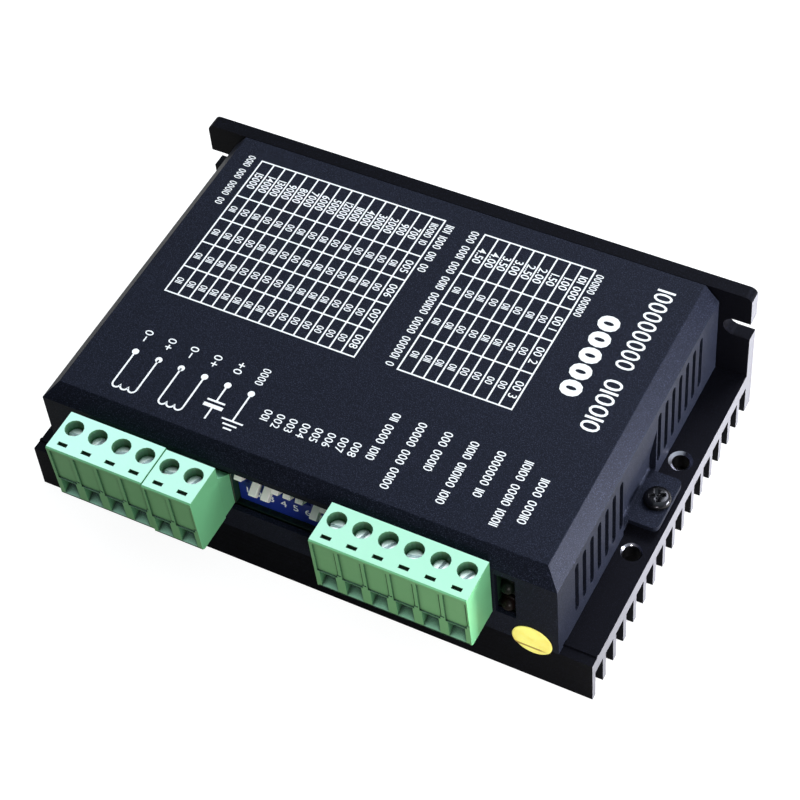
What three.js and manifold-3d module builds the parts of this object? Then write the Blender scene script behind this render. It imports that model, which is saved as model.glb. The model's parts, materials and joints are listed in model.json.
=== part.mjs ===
// Microstepping stepper-motor driver module.
//
// An L-shaped finned aluminium heatsink carries a circuit board on four
// standoffs, closed by a folded sheet-metal cover held by one screw each side.
// Two pluggable terminal blocks (a 4-way and a 2-way side by side) and a 6-way
// one stand out of the front panel, with an eight-way piano DIP switch between
// them and two indicator lamps to the right.
//
// Units are millimetres, +Z up, -Y is the connector side, +X the right.  The
// origin is the centre of the tip of the middle cooling fin.  Parts are modelled
// with y = 0 on the front face of the heatsink, and the assembly is then shifted.
import * as THREE from 'three';
import { mergeVertices } from 'three/addons/utils/BufferGeometryUtils.js';
import Module from 'manifold-3d';

const wasm = await Module();
wasm.setup();
const { Manifold, Mesh } = wasm;

// --------------------------------------------------------- shared dimensions
// A two-number array under a name is a span [from, to] along one axis.
const OVER = 1;               // how far a cutting tool runs past the face it cuts
const GAP = 0.05;             // clearance between neighbouring pieces

const FIN = { pitch: 4.53, thick: 1.27, spaces: 16 };   // front skirt, 15 fins, back wall
const PLATE = { bottom: 7.25, top: 10.8, halfLength: 59 };
const RIDGE = { y: [1.95, 2.75], height: 0.35, taper: 0.15 };   // along the plate, near its front

const LAMP = { x: 42.5, y: 1.6, upperZ: 24.1, lowerZ: 19.0 };

const COVER = {
  halfWidth: 52.6, front: -0.15, back: 72.2, bottom: 10.95, top: 33.3,
  bevelZ: 30.0, bevelX: 2.87, bevelY: 2.6,    // lower edge and widths of the bevels
};
const SHEET = 1.1;
const TAB = { y: [30.2, 42.5], z: [12.2, 13.3], outer: 58.3, corner: 1.3, bend: 0.6, hole: 1.7 };
// pocket pressed into each side wall above its tab, fading out from fadeZ to topZ
const POCKET = { x: 51.35, y: [28.05, 42.9], fadeZ: 16.6, topZ: 25.0 };
const COVER_SCREW = { x: 55.65, y: 36.45 };

const BOARD = { halfWidth: 50.4, y: [1.5, 70.2], z: [15.4, 17.0] };
const [BOARD_BOTTOM, BOARD_TOP] = BOARD.z;
const STANDOFF = { x: 47.4, y: [6.2, 66.2], hole: 1.6 };

// Terminal blocks.  `out` is how far a plug body is shifted along y on its longer
// neck, `neckInset` the neck's distance from the left and right ends of the body,
// and `turns` the rotation of each clamping screw in radians.
const POLE_PITCH = 5.08;
const END = 2.64;             // last pole to a free end of a block
const JOINT = 2.49;           // last pole to the end where two blocks meet
const MOTOR_X = -41.64;       // first pole of each block
const POWER_X = MOTOR_X + 4 * POLE_PITCH + 0.2;
const SIGNAL_X = 11.96;
const BLOCKS = [
  {
    name: 'motor', firstX: MOTOR_X, poles: 4, ends: [END, JOINT],
    out: -1.8, neckInset: [0.9, 0.6], turns: [0.2, 1.3, 0.35, 1.0],
  },
  {
    name: 'power', firstX: POWER_X, poles: 2, ends: [JOINT, END],
    out: -2.1, neckInset: [0.6, 0.05], turns: [0.15, 1.2],
  },
  {
    name: 'signal', firstX: SIGNAL_X, poles: 6, ends: [END, END],
    out: 0, neckInset: [0.9, 0.9], turns: [0.1, 1.25, 1.0, 0.3, 1.35, 1.15],
  },
];

// ------------------------------------------------------------------- helpers
const around = (centre, half) => [centre - half, centre + half];
const inset = ([from, to], start, end = start) => [from + start, to - end];
const row = (first, pitch, count) => Array.from({ length: count }, (_, i) => first + i * pitch);
const poleXs = (block) => row(block.firstX, POLE_PITCH, block.poles);
const blockSpan = ({ firstX, poles, ends }) =>
  [firstX - ends[0], firstX + (poles - 1) * POLE_PITCH + ends[1]];

function solid(geometry) {
  geometry.deleteAttribute('normal');
  geometry.deleteAttribute('uv');
  const merged = mergeVertices(geometry, 1e-5);
  return new Manifold(new Mesh({
    numProp: 3,
    vertProperties: new Float32Array(merged.getAttribute('position').array),
    triVerts: new Uint32Array(merged.index.array),
  }));
}

function toGeometry(shape) {
  const mesh = shape.getMesh();
  const geometry = new THREE.BufferGeometry();
  const positions = new Float32Array(mesh.vertProperties);
  geometry.setAttribute('position', new THREE.BufferAttribute(positions, 3));
  geometry.setIndex(new THREE.BufferAttribute(new Uint32Array(mesh.triVerts), 1));
  return geometry;
}

const union = (shapes) => shapes.reduce((a, b) => a.add(b));
const cut = (base, tools) => base.subtract(union(tools));
// a right-hand shape together with its mirror image on the left
const bothSides = (right) => right.add(right.mirror([1, 0, 0]));

function box([x0, x1], [y0, y1], [z0, z1]) {
  const geometry = new THREE.BoxGeometry(x1 - x0, y1 - y0, z1 - z0);
  geometry.translate((x0 + x1) / 2, (y0 + y1) / 2, (z0 + z1) / 2);
  return solid(geometry);
}

function extrude(points, from, to) {
  const outline = new THREE.Shape(points.map(([u, v]) => new THREE.Vector2(u, v)));
  const options = { depth: to - from, bevelEnabled: false, steps: 1 };
  return new THREE.ExtrudeGeometry(outline, options).translate(0, 0, from);
}

// profile in (y, z)
const YZ_TO_X = new THREE.Matrix4().makeBasis(
  new THREE.Vector3(0, 1, 0),
  new THREE.Vector3(0, 0, 1),
  new THREE.Vector3(1, 0, 0),
);
const prismX = (points, [x0, x1]) => solid(extrude(points, x0, x1).applyMatrix4(YZ_TO_X));
// profile in (x, z)
const prismY = (points, [y0, y1]) => solid(extrude(points, -y1, -y0).rotateX(Math.PI / 2));
// profile in (x, y)
const prismZ = (points, [z0, z1]) => solid(extrude(points, z0, z1));

function cylZ(x, y, radius, [z0, z1], segments, topRadius = radius) {
  const geometry = new THREE.CylinderGeometry(topRadius, radius, z1 - z0, segments);
  geometry.rotateX(Math.PI / 2);
  geometry.translate(x, y, (z0 + z1) / 2);
  return solid(geometry);
}

function cylY(x, z, radius, [y0, y1], segments) {
  const geometry = new THREE.CylinderGeometry(radius, radius, y1 - y0, segments);
  geometry.translate(x, (y0 + y1) / 2, z);
  return solid(geometry);
}

// part turned about Z: profile of [radius, z] starting and ending on the axis
function lathe(profile, segments) {
  const points = profile.map(([radius, z]) => new THREE.Vector2(radius, z));
  return solid(new THREE.LatheGeometry(points, segments).rotateX(Math.PI / 2));
}

// steps + 1 points of an arc, angles in degrees
function arc(u, v, radius, startAngle, endAngle, steps) {
  return row(startAngle, (endAngle - startAngle) / steps, steps + 1).map((degrees) => {
    const angle = THREE.MathUtils.degToRad(degrees);
    return [u + radius * Math.cos(angle), v + radius * Math.sin(angle)];
  });
}

const FINISH = {
  anodised: { color: 0x1a1b20, roughness: 0.45, metalness: 0.6 },
  powder: { color: 0x23262f, roughness: 0.6, metalness: 0.1 },
  blackSteel: { color: 0x1c1c1e, roughness: 0.35, metalness: 0.8 },
  zinc: { color: 0xc9ccce, roughness: 0.3, metalness: 0.9 },
  brass: { color: 0xb99a4c, roughness: 0.35, metalness: 0.9 },
  green: { color: 0x7fcf9f, roughness: 0.5, metalness: 0.0 },
  greenDark: { color: 0x3f8f5f, roughness: 0.55, metalness: 0.0 },
  blue: { color: 0x2a4aa8, roughness: 0.45, metalness: 0.0 },
  white: { color: 0xe8e8e6, roughness: 0.5, metalness: 0.0 },
  yellow: { color: 0xf2e27a, roughness: 0.5, metalness: 0.0 },
  board: { color: 0x1f5a38, roughness: 0.5, metalness: 0.0 },
  pad: { color: 0x9aa0a6, roughness: 0.9, metalness: 0.0 },
  sleeve: { color: 0x22252c, roughness: 0.4, metalness: 0.0 },
  black: { color: 0x141416, roughness: 0.5, metalness: 0.0 },
  lensGreen: { color: 0x3b5a40, roughness: 0.15, metalness: 0.0 },
  lensRed: { color: 0x6a2a26, roughness: 0.15, metalness: 0.0 },
};

const driver = new THREE.Group();
const assembly = new THREE.Group();
assembly.position.y = -(FIN.spaces / 2 * FIN.pitch + FIN.thick / 2);
driver.add(assembly);

function place(name, shape, finish, { at = [0, 0, 0], turn = 0, parent = assembly } = {}) {
  const mesh = new THREE.Mesh(toGeometry(shape), new THREE.MeshStandardMaterial(FINISH[finish]));
  mesh.name = name;
  mesh.position.set(...at);
  mesh.rotation.z = turn;
  parent.add(mesh);
}

// ------------------------------------------------------------------ heatsink
function heatsink() {
  const wall = { front: FIN.spaces * FIN.pitch, thick: 3.0, top: 33.1, corner: 1.5 };
  const slot = { x: 55.75, z: 23.8, radius: 2.2 };
  const flangeHole = { x: 55.4, radius: 1.7, sinkDepth: 0.4 };
  const flangeHoleRows = [{ y: 25.4, sinkRadius: 2.1 }, { y: 48.35, sinkRadius: 2.45 }];
  const screwHoleRadius = 1.6;
  // holes run a little below the plate, into any fin they meet
  const holeZ = [PLATE.bottom - 0.8, PLATE.top + OVER];
  const screwHoleZ = [PLATE.bottom - 1.2, PLATE.top + OVER];

  // comb and L section in (y, z), walked round the outside
  const wallBack = wall.front + wall.thick;
  const [ridgeFront, ridgeBack] = RIDGE.y;
  const section = [[0, 0]];
  for (const y of row(0, FIN.pitch, FIN.spaces)) {
    section.push([y + FIN.thick, 0], [y + FIN.thick, PLATE.bottom]);
    section.push([y + FIN.pitch, PLATE.bottom], [y + FIN.pitch, 0]);
  }
  section.push(
    [wallBack, 0],
    [wallBack, wall.top],
    [wall.front, wall.top],
    [wall.front, PLATE.top],
    [ridgeBack, PLATE.top],
    [ridgeBack - RIDGE.taper, PLATE.top + RIDGE.height],
    [ridgeFront + RIDGE.taper, PLATE.top + RIDGE.height],
    [ridgeFront, PLATE.top],
    [0, PLATE.top],
  );

  const throughWall = [wall.front - OVER, wallBack + OVER];
  const past = PLATE.halfLength + OVER;
  const cornerX = PLATE.halfLength - wall.corner;
  const cornerZ = wall.top - wall.corner;
  const roundedCorner = [
    ...arc(cornerX, cornerZ, wall.corner, 0, 90, 5),
    [cornerX, wall.top + OVER],
    [past, wall.top + OVER],
    [past, cornerZ],
  ];
  const tools = [
    // U-slot open at the end of the wall
    cylY(slot.x, slot.z, slot.radius, throughWall, 24),
    box([slot.x, past], throughWall, around(slot.z, slot.radius)),
    prismY(roundedCorner, throughWall),
    cylZ(COVER_SCREW.x, COVER_SCREW.y, screwHoleRadius, screwHoleZ, 16),
    ...STANDOFF.y.map((y) => cylZ(STANDOFF.x, y, STANDOFF.hole, holeZ, 10)),
  ];
  for (const { y, sinkRadius } of flangeHoleRows) {
    const { x, radius, sinkDepth } = flangeHole;
    const sinkZ = [PLATE.top - sinkDepth, PLATE.top + 0.05];
    tools.push(cylZ(x, y, radius, holeZ, 24));
    tools.push(cylZ(x, y, radius, sinkZ, 24, sinkRadius));
  }
  const body = prismX(section, around(0, PLATE.halfLength));
  return body.subtract(bothSides(union(tools)));
}
place('heatsink', heatsink(), 'anodised');

// --------------------------------------------------------------------- cover
// block with bevels along the front and both sides of its top
function bevelledBlock({ halfWidth, front, back, bottom, top, bevelZ, bevelX, bevelY }) {
  const across = [
    [-halfWidth, bottom], [-halfWidth, bevelZ], [-halfWidth + bevelX, top],
    [halfWidth - bevelX, top], [halfWidth, bevelZ], [halfWidth, bottom],
  ];
  const along = [
    [front, bottom], [front, bevelZ], [front + bevelY, top], [back, top], [back, bottom],
  ];
  return prismY(across, [front - OVER, back + OVER])
    .intersect(prismX(along, around(0, halfWidth + OVER)));
}

function coverShell() {
  const bevelLoss = 0.55;     // inner bevels are this much narrower than the outer ones
  return bevelledBlock(COVER).subtract(bevelledBlock({
    halfWidth: COVER.halfWidth - SHEET,
    front: COVER.front + SHEET,
    back: COVER.back + OVER,
    bottom: COVER.bottom - OVER,
    top: COVER.top - SHEET,
    bevelZ: COVER.bevelZ - 0.45,
    bevelX: COVER.bevelX - bevelLoss,
    bevelY: COVER.bevelY - bevelLoss,
  }));
}

function frontOpenings() {
  const spans = [
    [-43.7, 8.9],             // motor and power plugs and the DIP switch
    [9.9, 39.5],              // signal plug
    around(LAMP.x, 2),
  ];
  const depth = [COVER.front - OVER, COVER.front + SHEET + 0.5];
  return union(spans.map((x) => box(x, depth, [17.2, 28.6])));
}

// vents and lower notches of the right side wall
function sideOpenings() {
  const ventRows = [
    { firstY: 7.75, pitch: 3.2 },
    { firstY: 44.2, pitch: 3.25 },
  ];
  const ventsPerRow = 7;
  const ventRadius = 0.75;
  const [ventBottom, ventTop] = inset([14.5, 28.3], ventRadius);   // centres of the round ends
  const throughSide = [COVER.halfWidth - SHEET - 0.5, COVER.halfWidth + 0.5];
  const notchZ = [COVER.bottom - OVER, PLATE.top + RIDGE.height + 0.3];

  const tools = [
    // open under the fixing tab
    box(inset(throughSide, -1.3, 0), POCKET.y, [COVER.bottom - OVER, TAB.z[0]]),
    // notch over the heatsink ridge
    box(throughSide, inset(RIDGE.y, -0.3), notchZ),
  ];
  for (const { firstY, pitch } of ventRows) {
    for (const y of row(firstY, pitch, ventsPerRow)) {
      const outline = [
        ...arc(y, ventBottom, ventRadius, 180, 360, 4),
        ...arc(y, ventTop, ventRadius, 0, 180, 4),
      ];
      tools.push(prismX(outline, throughSide));
    }
  }
  return union(tools);
}

// hollow of the right pocket, cut from outside
function pocketHollow() {
  const outside = COVER.halfWidth + 0.4;
  const tabTop = TAB.z[1];
  return prismY([
    [outside, tabTop],
    [POCKET.x, tabTop],
    [POCKET.x, POCKET.fadeZ],
    [COVER.halfWidth, POCKET.topZ],
    [outside, POCKET.topZ],
  ], POCKET.y);
}

// material behind the right pocket, one sheet thickness inside it
function pocketBacking() {
  const wallInner = COVER.halfWidth - SHEET;
  const backingInner = POCKET.x - SHEET;
  const tabBottom = TAB.z[0];
  return prismY([
    [wallInner + 0.2, tabBottom],
    [backingInner, tabBottom],
    [backingInner, POCKET.fadeZ + 0.3],
    [wallInner, POCKET.topZ - 0.3],
    [wallInner + 0.2, POCKET.topZ - 0.3],
  ], inset(POCKET.y, -0.3, -0.4));
}

// right fixing tab, turned outwards from the foot of the pocket
function fixingTab() {
  const { outer, corner, bend } = TAB;
  const [bottom, top] = TAB.z;
  const [front, back] = TAB.y;
  const throughTab = [bottom - OVER, top + 6];
  const section = [
    [POCKET.x - 0.6, bottom],
    [outer, bottom],
    [outer, top],
    ...arc(POCKET.x + bend, top + bend, bend, 270, 180, 4),
    [POCKET.x - 0.6, top + bend],
  ];
  const plan = [
    [POCKET.x - OVER, front],
    ...arc(outer - corner, front + corner, corner, 270, 360, 5),
    ...arc(outer - corner, back - corner, corner, 0, 90, 5),
    [POCKET.x - OVER, back],
  ];
  return prismY(section, TAB.y)
    .intersect(prismZ(plan, throughTab))
    .subtract(cylZ(COVER_SCREW.x, COVER_SCREW.y, TAB.hole, throughTab, 20));
}

function cover() {
  const backed = coverShell().add(bothSides(pocketBacking()));
  const sides = bothSides(sideOpenings().add(pocketHollow()));
  return cut(backed, [frontOpenings(), sides]).add(bothSides(fixingTab()));
}
place('cover', cover(), 'powder');

// --------------------------------------------- cover screws and tamper label
// z = 0 is the underside of the head
function coverScrew() {
  const profile = [
    [0, -6.2], [1.4, -6.2], [1.4, 0], [2.62, 0], [2.62, 0.55], [2.4, 1.05], [1.8, 1.42], [0, 1.5],
  ];
  const long = around(0, 1.6);
  const narrow = around(0, 0.35);
  const recessZ = [0.6, 3];
  return cut(lathe(profile, 16), [box(narrow, long, recessZ), box(long, narrow, recessZ)]);
}
for (const [side, sign, turn] of [['right', 1, 0.5], ['left', -1, 0.9]]) {
  const at = [sign * COVER_SCREW.x, COVER_SCREW.y, TAB.z[1] + GAP];
  place(`cover_screw_${side}`, coverScrew(), 'blackSteel', { at, turn });
}

const SEAL = { x: 47.5, z: 12.35, radius: 3.9, y: [-0.38, -0.24] };
place('tamper_seal', cylY(SEAL.x, SEAL.z, SEAL.radius, SEAL.y, 36), 'yellow');

// --------------------------------------------------------- board and insides
function mainBoard() {
  // parts on the top: [x, y, width, depth, height]
  const topParts = [
    ...row(16, 9.6, 3).map((x) => [x, 20, 6.4, 4.6, 3.4]),     // opto-isolators
    [-2, 21, 7, 7, 4.0],
    [-2, 34, 6, 5, 1.6],
    ...row(-38, 9, 4).map((x) => [x, 44, 6.4, 3.2, 0.8]),      // sense resistors
    [38, 40, 9, 6, 2.2],
  ];
  const sunk = 0.1;           // overlap of the parts with the board
  const throughBoard = inset(BOARD.z, -OVER);

  const parts = topParts.map(([x, y, width, depth, height]) => (
    box(around(x, width / 2), around(y, depth / 2), [BOARD_TOP - sunk, BOARD_TOP + height])
  ));
  // power transistors under the board, over the thermal pad
  for (const x of row(-35, 9, 8)) {
    parts.push(box(around(x, 3.2), [52, 61.5], [13.2, BOARD_BOTTOM + sunk]));
  }
  const board = box(around(0, BOARD.halfWidth), BOARD.y, BOARD.z);

  const edgeTools = union([
    ...STANDOFF.y.map((y) => cylZ(STANDOFF.x, y, STANDOFF.hole, throughBoard, 10)),
    // notch for the screw pocket of the cover
    box([49.8, 52], inset(POCKET.y, -0.8, -0.9), throughBoard),
  ]);
  const pinHoles = BLOCKS.flatMap(poleXs).map((x) => (
    box(around(x, 0.65), [12.5, 13.9], throughBoard)
  ));
  return cut(union([board, ...parts]), [bothSides(edgeTools), ...pinHoles]);
}
place('main_board', mainBoard(), 'board');
place('thermal_pad', box([-39.5, 32], [51, 62.5], [PLATE.top + GAP, 13.15]), 'pad');

// hexagonal pillar with a stud below and a bore above
function standoff() {
  const hexagon = arc(0, 0, 2.89, 0, 300, 5);
  return prismZ(hexagon, [PLATE.top + GAP, BOARD_BOTTOM - GAP])
    .add(cylZ(0, 0, 1.4, [PLATE.bottom - 0.2, PLATE.top + 0.3], 8))
    .subtract(cylZ(0, 0, 1.55, [12.0, BOARD_BOTTOM + OVER], 8));
}

// z = 0 is the underside of the head
function boardScrew() {
  const profile = [[0, -4.4], [1.35, -4.4], [1.35, 0], [2.7, 0], [2.7, 0.9], [2.1, 1.8], [0, 1.8]];
  return lathe(profile, 10).subtract(box(around(0, 0.35), around(0, 1.4), [0.9, 3]));
}

STANDOFF.y.flatMap((y) => [[-STANDOFF.x, y], [STANDOFF.x, y]]).forEach(([x, y], i) => {
  const number = i + 1;
  place(`standoff_${number}`, standoff(), 'brass', { at: [x, y, 0] });
  const at = [x, y, BOARD_TOP + GAP];
  place(`board_screw_${number}`, boardScrew(), 'zinc', { at, turn: 0.4 * number });
});

// electrolytic capacitor with a rolled groove near the base
function capacitor() {
  return lathe([
    [0, 0], [5.9, 0], [6.25, 0.4], [6.25, 1.6], [5.85, 2.0],
    [6.25, 2.5], [6.25, 13.0], [5.9, 13.4], [0, 13.4],
  ], 16);
}
place('capacitor_1', capacitor(), 'sleeve', { at: [-34, 28, BOARD_TOP + GAP] });
place('capacitor_2', capacitor(), 'sleeve', { at: [-18, 28, BOARD_TOP + GAP] });
place('processor', box([13, 27], [31, 45], [BOARD_TOP + 0.1, BOARD_TOP + 1.5]), 'black');

// ---------------------------------------------- board headers for the plugs
function header(block) {
  const span = blockSpan(block);
  const shell = box(span, [1.3, 12.3], [BOARD_TOP + GAP, 25.9])
    .subtract(box(inset(span, 0.8), [0, 10.3], [18.2, 24.8]));
  // each pin runs back through the shell and down through the board
  const pins = poleXs(block).flatMap((x) => [
    box(around(x, 0.5), [4.0, 13.7], [20.0, 21.0]),
    box(around(x, 0.5), [12.7, 13.7], [13.9, 20.5]),
  ]);
  return union([shell, ...pins]);
}
for (const block of BLOCKS) place(`header_${block.name}`, header(block), 'greenDark');

// --------------------------------------------------------- screw-clamp plugs
const PLUG = { top: 32.24, bottom: 17.15, back: -0.45, front: -9.35, foot: -8.66 };
const POLE_Y = -3.55;         // axis of the clamping screws
const PROBE_Y = -7.63;        // small test slot in the top face
const CLAMP_SCREW = { head: 1.7, headZ: [28.7, 30.3], shank: 1.2, tipZ: 21.9 };
const CAGE = { halfX: 2.0, halfY: 2.3, z: [17.9, 24.3], windowHalfX: 1.5, windowZ: [18.9, 22.7] };

function clampScrew() {
  const { head, headZ: [headBottom, headTop], shank, tipZ } = CLAMP_SCREW;
  const chamfer = 0.25;
  const profile = [
    [0, tipZ], [shank, tipZ], [shank, headBottom], [head, headBottom],
    [head, headTop - chamfer], [head - chamfer, headTop], [0, headTop],
  ];
  const slot = box(around(0, 2), around(0, 0.32), [headTop - 0.8, headTop + OVER]);
  return lathe(profile, 12).subtract(slot);
}

function clampCage() {
  const { halfX, halfY, z, windowHalfX, windowZ } = CAGE;
  const screwHoleZ = [windowZ[1] - 0.5, z[1] + OVER];
  return cut(box(around(0, halfX), around(0, halfY), z), [
    box(around(0, windowHalfX), around(0, halfY + OVER), windowZ),
    cylZ(0, 0, CLAMP_SCREW.shank + 0.15, screwHoleZ, 10),
  ]);
}

function plugBody(block) {
  const span = blockSpan(block);
  const { top, bottom, back, front, foot } = PLUG;
  const headBottom = CLAMP_SCREW.headZ[0];
  // sections in (y, z)
  const bodySection = [
    [back, bottom], [back, top], [front + 0.25, top], [front, top - 0.3],
    [foot, bottom + 0.5], [foot + 0.6, bottom],
  ];
  // neck and tongue grow by the shift of the body, so both still reach the header
  const neckBack = 1.0 - block.out;
  const neckSection = [
    [back - 0.5, 17.45], [neckBack, 17.45], [neckBack, 26.2], [back, 28.9], [back - 0.5, 28.9],
  ];
  const wireEntry = [           // with a flared floor
    [-10, 17.9], [-8.6, 18.05], [-7.3, 18.8], [-5.5, 18.8],
    [-5.5, 22.4], [-8.4, 22.4], [-9.1, 22.75], [-10, 22.8],
  ];
  const frontPanel = [          // shallow recess between the pole ribs
    [-9.9, 22.75], [-9.9, 31.35], [-9.0, 31.35], [-8.6, 22.75],
  ];
  const body = union([
    prismX(bodySection, span),
    prismX(neckSection, inset(span, ...block.neckInset)),
    box(inset(span, 1.05), [0.5, 9.3 - block.out], [18.45, 24.55]),
  ]);
  const cageX = CAGE.halfX + 0.1;
  const cageY = CAGE.halfY + 0.15;
  const tools = poleXs(block).flatMap((x) => [
    cylZ(x, POLE_Y, 1.85, [headBottom - 0.15, top + OVER], 16),     // screw head well
    cylZ(x, POLE_Y, 1.4, [25, headBottom], 10),                     // shank hole
    box(around(x, cageX), around(POLE_Y, cageY), [CAGE.z[0] - 0.12, 26.5]),
    prismX(wireEntry, around(x, 1.65)),
    prismX(frontPanel, around(x, 2.05)),
    box(around(x, 1.0), around(PROBE_Y, 0.4), [top - 1.0, top + OVER]),
    box(around(x, 0.75), [2.5, 12], [19.75, 21.25]),                // header pin socket
  ]);
  return cut(body, tools);
}

for (const block of BLOCKS) {
  const parent = new THREE.Group();
  parent.position.y = block.out;
  assembly.add(parent);
  place(`plug_${block.name}`, plugBody(block), 'green', { parent });
  poleXs(block).forEach((x, i) => {
    const at = [x, POLE_Y, 0];
    const turn = block.turns[i];
    place(`${block.name}_screw_${i + 1}`, clampScrew(), 'zinc', { at, turn, parent });
    place(`${block.name}_clamp_${i + 1}`, clampCage(), 'zinc', { at, parent });
  });
}

// ---------------------------------------------------------------- DIP switch
const DIP = { x: [-13.16, 8.34], y: [2.7, 9.7], z: [17.05, 27.0] };
const LEVER = { y: 3.9, z: 24.7, hub: 1.1, length: 4.05, half: 0.74, width: 1.56, tilt: 33.4 };
const LEVER_XS = row(-11.3, 2.54, 8);
const LEVER_DOWN = [false, true, true, false, false, false, true, false];

function dipBody() {
  const slots = LEVER_XS.map((x) => (
    box(around(x, 0.88), [DIP.y[0] - OVER, 5.4], [LEVER.z - 1.9, DIP.z[1] + OVER])
  ));
  return cut(box(DIP.x, DIP.y, DIP.z), slots);
}
place('dip_body', dipBody(), 'blue');

// hub on the pivot and a finger pointing forwards, tilted up or down
function lever(isDown) {
  const { length, half, hub, width, tilt } = LEVER;
  const chamfer = 0.2;
  const finger = [
    [0, half], [0, -half], [length - chamfer, -half], [length, -half + chamfer],
    [length, half - chamfer], [length - chamfer, half],
  ];
  const span = around(0, width / 2);
  const degrees = isDown ? 180 + tilt : 180 - tilt;
  return prismX(finger, span)
    .rotate([degrees, 0, 0])
    .add(prismX(arc(0, 0, hub, 0, 324, 9), span));
}
LEVER_XS.forEach((x, i) => {
  place(`dip_lever_${i + 1}`, lever(LEVER_DOWN[i]), 'white', { at: [x, LEVER.y, LEVER.z] });
});

// ----------------------------------------------------------- indicator lamps
function lampHolder() {
  const block = box(around(LAMP.x, 1.75), [2.2, 8.0], [BOARD_TOP + GAP, 27.6]);
  return cut(block, [LAMP.upperZ, LAMP.lowerZ].map((z) => cylY(LAMP.x, z, 1.65, [1, 6.0], 20)));
}

function lamp() {
  const profile = [
    [0, -4.2], [1.5, -4.2], [1.5, 0.3], [1.38, 0.85], [1.1, 1.3], [0.6, 1.62], [0, 1.75],
  ];
  return lathe(profile, 20).rotate([90, 0, 0]);     // dome towards -Y
}
place('lamp_holder', lampHolder(), 'black');
place('lamp_power', lamp(), 'lensGreen', { at: [LAMP.x, LAMP.y, LAMP.upperZ] });
place('lamp_alarm', lamp(), 'lensRed', { at: [LAMP.x, LAMP.y, LAMP.lowerZ] });

export default driver;
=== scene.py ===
import functools
import json
import math
import random
from typing import NamedTuple

import bmesh
import bpy
from mathutils import Matrix, Vector


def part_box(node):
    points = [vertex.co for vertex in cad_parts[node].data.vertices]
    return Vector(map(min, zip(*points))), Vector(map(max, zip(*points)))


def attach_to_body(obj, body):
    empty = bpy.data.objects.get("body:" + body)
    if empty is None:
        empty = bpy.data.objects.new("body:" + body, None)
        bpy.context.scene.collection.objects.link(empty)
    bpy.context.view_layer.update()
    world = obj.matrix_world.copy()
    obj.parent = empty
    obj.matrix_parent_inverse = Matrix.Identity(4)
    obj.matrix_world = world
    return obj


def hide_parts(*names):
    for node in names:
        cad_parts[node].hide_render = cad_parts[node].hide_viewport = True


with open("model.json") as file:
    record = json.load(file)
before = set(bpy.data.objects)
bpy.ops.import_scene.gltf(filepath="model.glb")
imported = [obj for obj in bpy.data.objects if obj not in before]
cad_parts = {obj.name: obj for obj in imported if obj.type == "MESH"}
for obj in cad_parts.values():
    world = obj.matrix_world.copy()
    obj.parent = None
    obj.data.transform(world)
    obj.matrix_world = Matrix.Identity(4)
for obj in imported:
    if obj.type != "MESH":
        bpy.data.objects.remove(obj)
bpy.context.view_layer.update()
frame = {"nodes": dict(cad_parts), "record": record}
NODES = frame["nodes"]
RECORD = frame["record"]
BODY = {node: body for body, nodes in RECORD["behaviour"]["bodies"].items() for node in nodes}
MILLI = 0.001                                  # metres in a millimetre
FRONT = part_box("heatsink")[0].y / MILLI        # front skirt face in the frame, mm

# Turn of each terminal screw's slot in radians, one for each pole of a plug.
SLOT_TURNS = {
    "motor": [0.2, 1.3, 0.35, 1.0],
    "power": [0.15, 1.2],
    "signal": [0.1, 1.25, 1.0, 0.3, 1.35, 1.15],
}


def metres(x, y, z):
    """A vector in metres from lengths in mm."""
    return Vector((x * MILLI, y * MILLI, z * MILLI))


def point(x, y, z):
    """A point given in mm with y counted from the front skirt face."""
    return metres(x, y + FRONT, z)


def to_mm(place):
    """The reverse of point."""
    return place.x / MILLI, place.y / MILLI - FRONT, place.z / MILLI


def box_mm(node):
    low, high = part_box(node)
    return to_mm(low), to_mm(high)


# ------------------------------------------------------------------ shader graphs
def linear(rgb):
    """Linear RGBA from sRGB bytes."""
    return tuple(
        value / 12.92 if value <= 0.04045 else ((value + 0.055) / 1.055) ** 2.4
        for value in (byte / 255 for byte in rgb)
    ) + (1.0,)


def scaled(color, factor):
    return tuple(min(1.0, value * factor) for value in color[:3]) + (1.0,)


class Graph:
    """An emptied node tree, with short ways to add nodes."""

    def __init__(self, tree):
        self.tree = tree
        tree.nodes.clear()

    def put(self, socket, value):
        """Links a socket to another, or sets its value."""
        if isinstance(value, bpy.types.NodeSocket):
            self.tree.links.new(value, socket)
        else:
            socket.default_value = value

    def node(self, kind, inputs=None, **settings):
        node = self.tree.nodes.new("ShaderNode" + kind)
        for name, value in settings.items():
            setattr(node, name, value)
        for name, value in (inputs or {}).items():
            self.put(node.inputs[name], value)
        return node


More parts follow.
